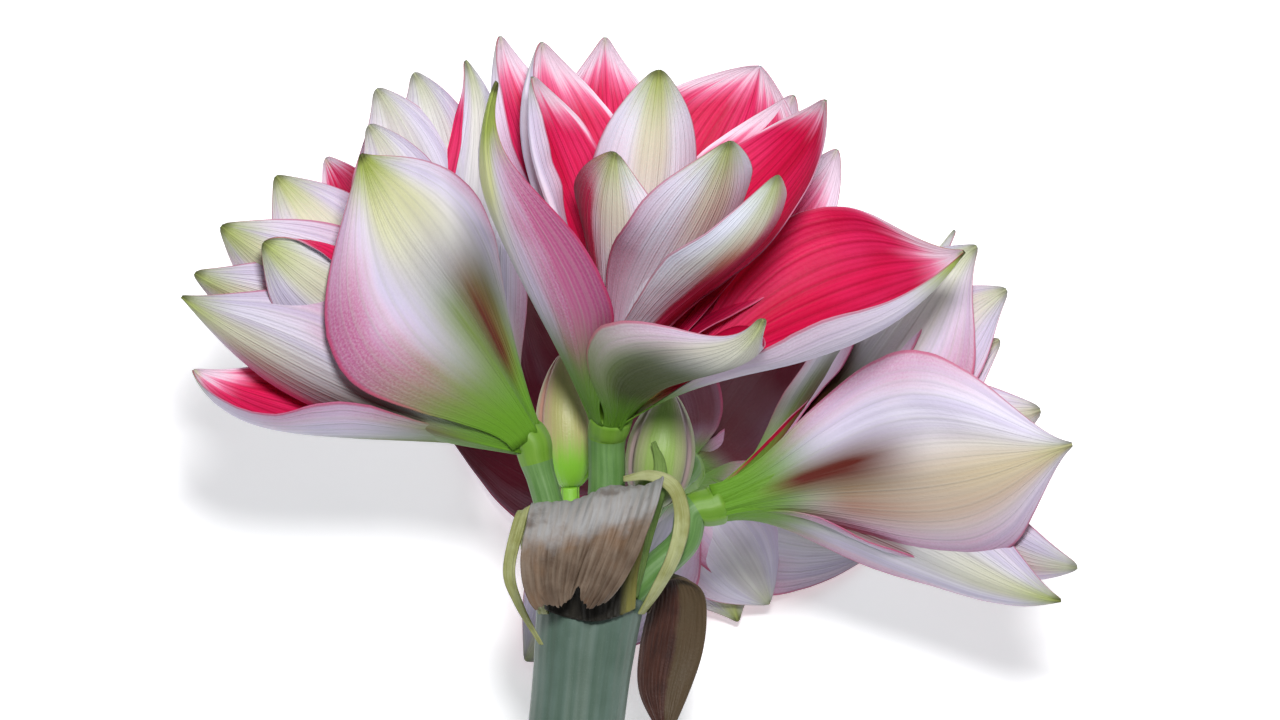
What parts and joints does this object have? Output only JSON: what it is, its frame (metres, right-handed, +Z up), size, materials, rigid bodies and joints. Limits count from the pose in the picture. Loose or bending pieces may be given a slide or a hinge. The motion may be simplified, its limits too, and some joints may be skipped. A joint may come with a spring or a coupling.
{
  "type": "cut double amaryllis",
  "caption": "Cut double amaryllis lying down: a thick green scape with an umbel of open white and crimson blooms, small buds and withered bracts.",
  "frame": {"origin": "centre of the bounding box, on the surface that the flower lies on", "axes": "+Y from the scape's cut end towards the head, +Z up from the surface"},
  "size_m": [0.2686, 0.4194, 0.2318],
  "materials": {
    "scape_green": "satin",
    "stalk_green": "satin",
    "petals": "satin",
    "bud_skin": "satin",
    "dry_bract": "matte",
    "dark_bract": "matte",
    "bracteole": "satin"
  },
  "bodies": {
    "root": {"scape": "scape_green", "pedicel_left": "stalk_green", "pedicel_front": "stalk_green", "pedicel_right": "stalk_green", "pedicel_back": "stalk_green", "bloom_left": "petals", "bloom_front": "petals", "bloom_right": "petals", "bloom_back": "petals", "bud_left": "bud_skin", "bud_right": "bud_skin", "spathe_front": "dry_bract", "spathe_hanging": "dark_bract", "bracteole_left": "bracteole", "bracteole_right": "bracteole", "bracteole_tip": "bracteole"}
  },
  "joints": []
}
